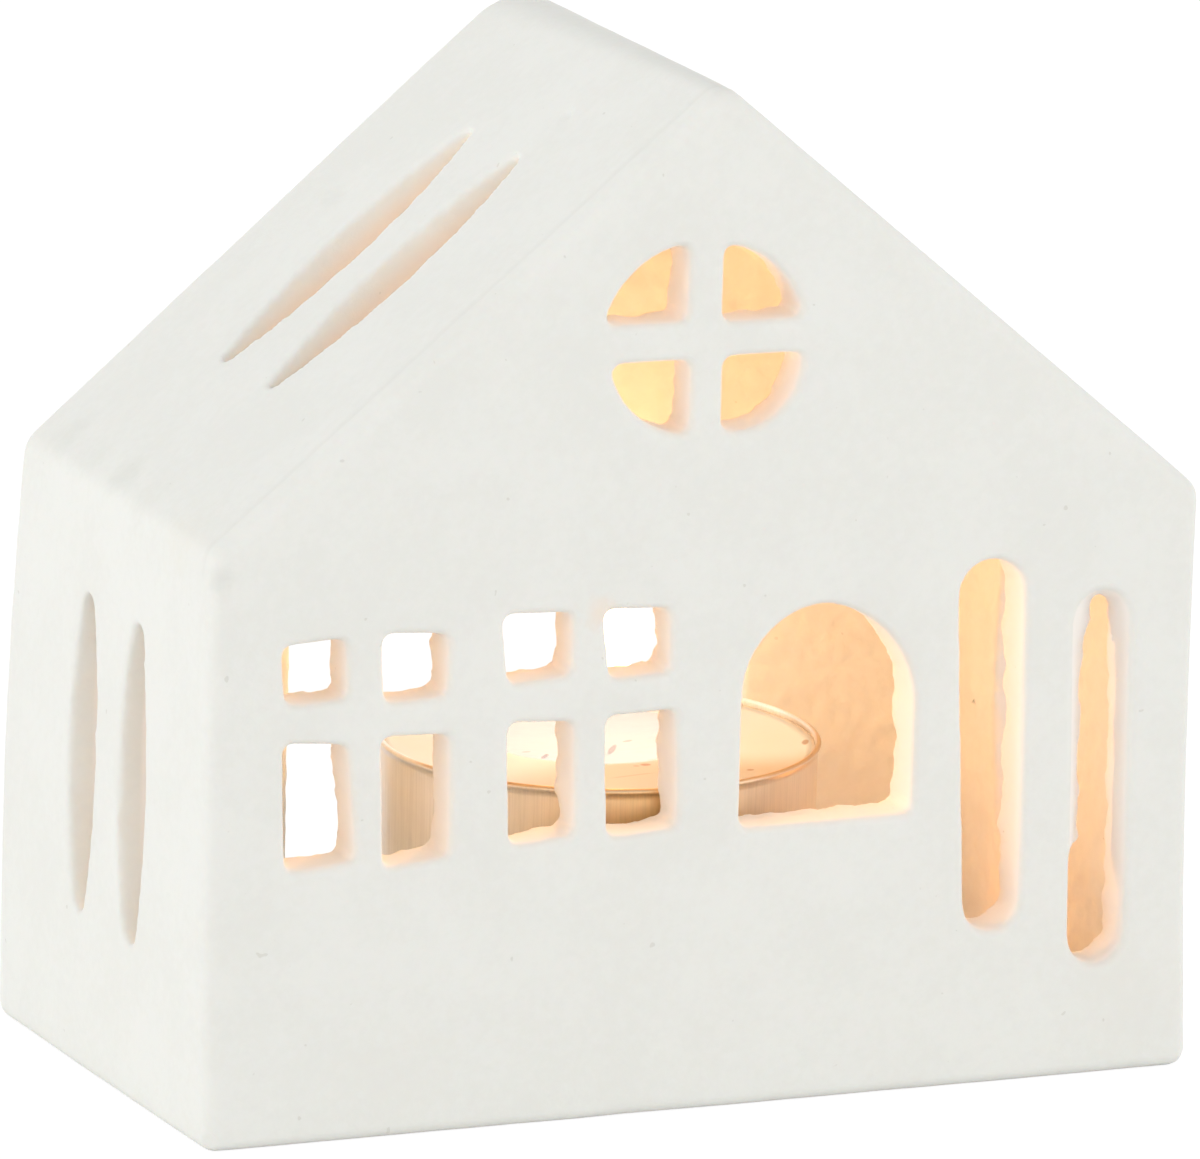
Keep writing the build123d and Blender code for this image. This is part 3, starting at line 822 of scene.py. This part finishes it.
def makeWax(v):
    material, graph = newMaterial("warmWax")
    place = fromAxis(graph, graph.objectPlace())
    flat = graph.vector("MULTIPLY", place, (1, 1, 0))
    ragged = graph.noise(place, *v["ragged"])
    out = graph.distance(flat, (*v["softMiddle"], 0)) + (ragged - 0.5) * v["softStray"]
    firm = graph.band(out, *(v["softRadius"] + edge for edge in v["softEdges"]))
    across, along, height = graph.parts(place)
    # Painted light and shade: the firm wax is paler towards the doorway behind and darker towards the front slab
    behind = graph.band(along + abs(across) * v["backBend"], *v["backEdges"])
    onTop = graph.band(height, *(waxHigh.z + edge for edge in v["topEdges"]))
    onTop = onTop * graph.band(graph.distance(flat, (0, 0, 0)), *(v["radius"] + edge for edge in v["rimEdges"]))
    firmColour = graph.blend(onTop, v["sideColour"], graph.blend(behind, v["firmFrontPaintedShade"], v["firmBackPaintedLight"]))
    # The molten pool's bluish colour is a painted highlight
    colour = graph.blend(firm, v["molten"], firmColour)
    for (x, y), half, width, turn, strength in v["flecks"]:
        lengthwise = (math.cos(math.radians(turn)), math.sin(math.radians(turn)), 0)
        sideways = (-lengthwise[1], lengthwise[0], 0)
        away = graph.vector("SUBTRACT", flat, (x, y, 0))
        reach = (graph.dot(away, lengthwise) / half) ** 2 + (graph.dot(away, sideways) / width) ** 2
        near = graph.band(reach + (ragged - 0.5) * v["fleckStray"], *v["fleckEdges"]) * strength
        colour = graph.blend(near, colour, v["fleckColour"])
    inputs = {
        "Base Color": colour,
        "Roughness": graph.band(firm, 0.0, 1.0, *v["roughness"]),
        "Coat Weight": graph.band(firm, 0.0, 1.0, *v["coat"]),
        "Normal": graph.bump(ragged, *v["relief"]),
    }
    finishMaterial(graph, inputs)
    return material


# The top is uneven where it has melted and set again
def setRipples(graph, geometry, wires):
    place = graph.meshPlace()
    z = graph.parts(place)[2]
    below, above = (graph.band(z, *(waxHigh.z + edge for edge in edges)) for edges in wax["rippleEdges"])
    ripple = graph.swing(place, 1 / wires["Ripple Size"], wax["rippleDetail"]) * wires["Ripple"]
    lump = graph.swing(place, 1 / wires["Lump Size"]) * wires["Lump"]
    offset = graph.scaled((0, 0, 1), below * above * (ripple + lump - wires["Sink"]) * mm)
    return graph.add("GeometryNodeSetPosition", {}, {"Geometry": geometry, "Offset": offset})


waxCandle = spunPiece("waxCandle", waxProfile(wax), candleAxis, wax["sides"])
growMesh(waxCandle, waxMarks, makeWax(wax), setRipples)
seat(waxCandle, "candle", "wax", "wax")

print("wick")
wickLow, wickHigh = nodeBox("wick")
wick = {
    "cotton": (0.80, 0.72, 0.58, 1),
    "cottonShade": (0.6, 0.52, 0.4, 1),
    "char": (0.018, 0.014, 0.012, 1),
    "charEdges": (-5.2, -4.2),  # heights in mm from the wick's top, as the ember's
    "charStray": 1.5,
    "ember": (1.0, 0.30, 0.05, 1),
    "emberEdges": (-1.1, -0.5),
    "emberStrength": 2.0,
    "fibre": (1.6, 3.0, 0.7),  # pattern: scale for each mm, detail and roughness
    "fibreStretch": (3, 3, 0.8),
    "roughness": 0.95,
    "relief": (0.08, 0.8),  # depth in mm and strength
    "steps": 60,
    "handleShare": 0.6,  # how far up to the bend the cord is held straight
}
wickBraid = {
    "Outer Radius": 0.58,
    "Inner Radius": 0.40,
    "Strands": 6.0,
    "Turns": 7.0,
    "Foot": wickLow.z,
    "Bend": wickHigh.z - 2.6,
    "Bend Reach": 0.8,
    "Tip": wickHigh.z - 0.5,
    "Lean": -0.1,
    "Thin From": 0.94,
    "Tip Width": 0.5,
}


def makeCotton(v):
    material, graph = newMaterial("wickCotton")
    place = graph.objectPlace()
    z = graph.parts(place)[2]
    fibre = graph.noise(graph.vector("MULTIPLY", place, v["fibreStretch"]), *v["fibre"])
    height = z + (fibre - 0.5) * v["charStray"]
    burnt, tip = (graph.band(height, *(wickHigh.z + edge for edge in v[key])) for key in ("charEdges", "emberEdges"))
    inputs = {
        "Base Color": graph.blend(burnt, graph.blend(fibre, v["cottonShade"], v["cotton"]), v["char"]),
        "Roughness": v["roughness"],
        "Emission Color": graph.blend(tip, (0, 0, 0, 1), v["ember"]),
        "Emission Strength": v["emberStrength"],
        "Normal": graph.bump(fibre, *v["relief"]),
    }
    finishMaterial(graph, inputs)
    return material


# A twisted cotton cord that stands straight and tapers at its tip
def twistCotton(graph, geometry, wires):
    def point(across, height):
        parts = {"X": across + candleAxis[0], "Y": candleAxis[1], "Z": height}
        return graph.scaled(graph.add("ShaderNodeCombineXYZ", {}, parts), mm)

    share = wick["handleShare"]
    ends = {
        "Resolution": wick["steps"],
        "Start": point(0.0, wires["Foot"]),
        "Start Handle": point(0.0, wires["Foot"] * (1 - share) + wires["Bend"] * share),
        "End Handle": point(0.0, wires["Bend"] + wires["Bend Reach"]),
        "End": point(wires["Lean"], wires["Tip"]),
    }
    line = graph.add("GeometryNodeCurvePrimitiveBezierSegment", {}, ends)
    along = graph.add("GeometryNodeSplineParameter", {}, {}, "Factor")
    line = graph.add("GeometryNodeSetCurveTilt", {}, {"Curve": line, "Tilt": along * wires["Turns"] * math.tau})
    thin = graph.band(along, wires["Thin From"], 1.0, 1.0, wires["Tip Width"])
    line = graph.add("GeometryNodeSetCurveRadius", {}, {"Curve": line, "Radius": thin})
    star = {
        "Points": wires["Strands"],
        "Inner Radius": wires["Inner Radius"] * mm,
        "Outer Radius": wires["Outer Radius"] * mm,
    }
    section = graph.add("GeometryNodeCurveStar", {}, star)
    section = graph.add("GeometryNodeSubdivideCurve", {}, {"Curve": section, "Cuts": 1})
    return graph.add("GeometryNodeCurveToMesh", {}, {"Curve": line, "Profile Curve": section, "Fill Caps": True})


wickCord = newPiece("wickCord", bpy.data.meshes.new("wickCord"))
growMesh(wickCord, wickBraid, makeCotton(wick), twistCotton)
seat(wickCord, "candle", "wick", "wick")

tin = {
    "colour": (0.72, 0.72, 0.71, 1),
    "stainColour": (0.60, 0.57, 0.52, 1),
    "cloud": (0.8, 4.0, 0.6),  # patterns: scale for each mm, detail and roughness
    "scratch": (2.0, 2.0, 0.6),
    "scratchStretch": (6, 1, 1),
    "roughEdges": (0.3, 0.7),
    "roughness": (0.25, 0.5),
    "metallic": 0.95,
    "relief": (0.02, 0.5),  # depth in mm and strength
}


def makeTin(v):
    material, graph = newMaterial("stampedTin")
    place = graph.objectPlace()
    cloud = graph.noise(place, *v["cloud"])
    scratch = graph.noise(graph.vector("MULTIPLY", place, v["scratchStretch"]), *v["scratch"])
    inputs = {
        "Base Color": graph.blend(cloud, v["stainColour"], v["colour"]),
        "Roughness": graph.band(scratch, *v["roughEdges"], *v["roughness"]),
        "Metallic": v["metallic"],
        "Normal": graph.bump(scratch, *v["relief"]),
    }
    finishMaterial(graph, inputs)
    return material


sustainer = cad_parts["wick_sustainer"]
sustainer.data.materials.clear()
sustainer.data.materials.append(makeTin(tin))

print("flame")
# Sizes and heights in mm. Edges run from 0 at the flame's foot to 1 at its tip
flame = {
    "foot": wickHigh.z - 3.4,
    "height": 16.5,
    "width": 5.4,
    "bellyShare": 0.30,  # height of the widest place, as a share of the height
    "footPower": 0.8,  # how round it is below that place, and above
    "tipPower": 1.25,
    "steps": 28,
    "sides": 48,
    "lean": 0.5,
    "rootColour": (0.35, 0.30, 0.55, 1),
    "rootEdges": (0.05, 0.3),
    "coreColour": (1.0, 0.84, 0.50, 1),
    "tipColour": (1.0, 0.58, 0.20, 1),
    "tipEdges": (0.55, 1.0),
    "alphaEdges": (0.02, 0.3),
    "alpha": (0.15, 0.95),
    "brightness": 5.0,
    "lamps": [(37.5, 0.46), (44.5, 0.54)],  # heights, and shares of the power
    "power": 0.021,
    "evenAt": 30.0,  # nearer than this the light is softer than a bare flame's, and further off it carries on
    "lampColour": (1.0, 0.51, 0.175),
    "lampRadius": 2.5,
    # Light that has been thrown about between the walls and comes up from the floor: place, power and colour
    "bounce": ((32.5, -0.8, 8.8), 0.0018, (1.0, 0.34, 0.05)),
}


def flameProfile(v):
    belly, steps = v["bellyShare"], v["steps"]
    points = []
    for k in range(steps + 1):
        t = k / steps
        if t < belly:
            wide = math.sin(math.pi / 2 * t / belly) ** v["footPower"]
        else:
            wide = math.cos(math.pi / 2 * (t - belly) / (1 - belly)) ** v["tipPower"]
        radius = wide * v["width"] / 2 if 0 < k < steps else 0
        points.append((radius, v["foot"] + v["height"] * t))
    return points


def makeFire(v):
    material, graph = newMaterial("candleFlame")
    z = graph.parts(graph.objectPlace())[2]
    rise = (z - v["foot"]) / v["height"]
    colour = graph.blend(graph.band(rise, *v["rootEdges"]), v["rootColour"], v["coreColour"])
    inputs = {
        "Base Color": (0, 0, 0, 1),
        "Specular IOR Level": 0.0,
        "Emission Color": graph.blend(graph.band(rise, *v["tipEdges"]), colour, v["tipColour"]),
        "Emission Strength": v["brightness"],
        "Alpha": graph.band(rise, *v["alphaEdges"], *v["alpha"]),
    }
    finishMaterial(graph, inputs)
    return material


# A lamp that shines but isn't seen, with a softer fall-off where evenAt is given
def hiddenLamp(name, place, power, colour, radius, evenAt=None):
    lamp = bpy.data.lights.new(name, "POINT")
    lamp.energy = power
    lamp.color = colour
    lamp.shadow_soft_size = radius * mm
    if evenAt:
        lamp.use_nodes = True
        lamp.node_tree.nodes.clear()
        graph = Graph(lamp.node_tree)
        reach = graph.add("ShaderNodeLightFalloff", {}, {"Strength": 1 / (evenAt * mm)}, "Linear")
        glow = graph.add("ShaderNodeEmission", {}, {"Strength": reach})
        graph.add("ShaderNodeOutputLight", {}, {"Surface": glow})
    light = newPiece(name, lamp)
    light.location = Vector(place) * mm
    light.visible_camera = False
    return light


def makeFlame(v):
    piece = spunPiece("flame", flameProfile(v), candleAxis, v["sides"])
    for vertex in piece.data.vertices:
        vertex.co.x += v["lean"] * mm * ((vertex.co.z / mm - v["foot"]) / v["height"]) ** 2
    piece.data.materials.append(makeFire(v))
    piece.visible_shadow = False
    shadeSmooth(piece)
    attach(piece, "candle")
    for height, share in v["lamps"]:
        place = (*candleAxis, height)
        light = hiddenLamp("flameLight", place, v["power"] * share, v["lampColour"], v["lampRadius"], v["evenAt"])
        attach(light, "candle")
    place, power, colour = v["bounce"]
    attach(hiddenLamp("bounceLight", place, power, colour, v["lampRadius"]), "house")


makeFlame(flame)

bpy.context.scene.view_settings.view_transform = "Standard"
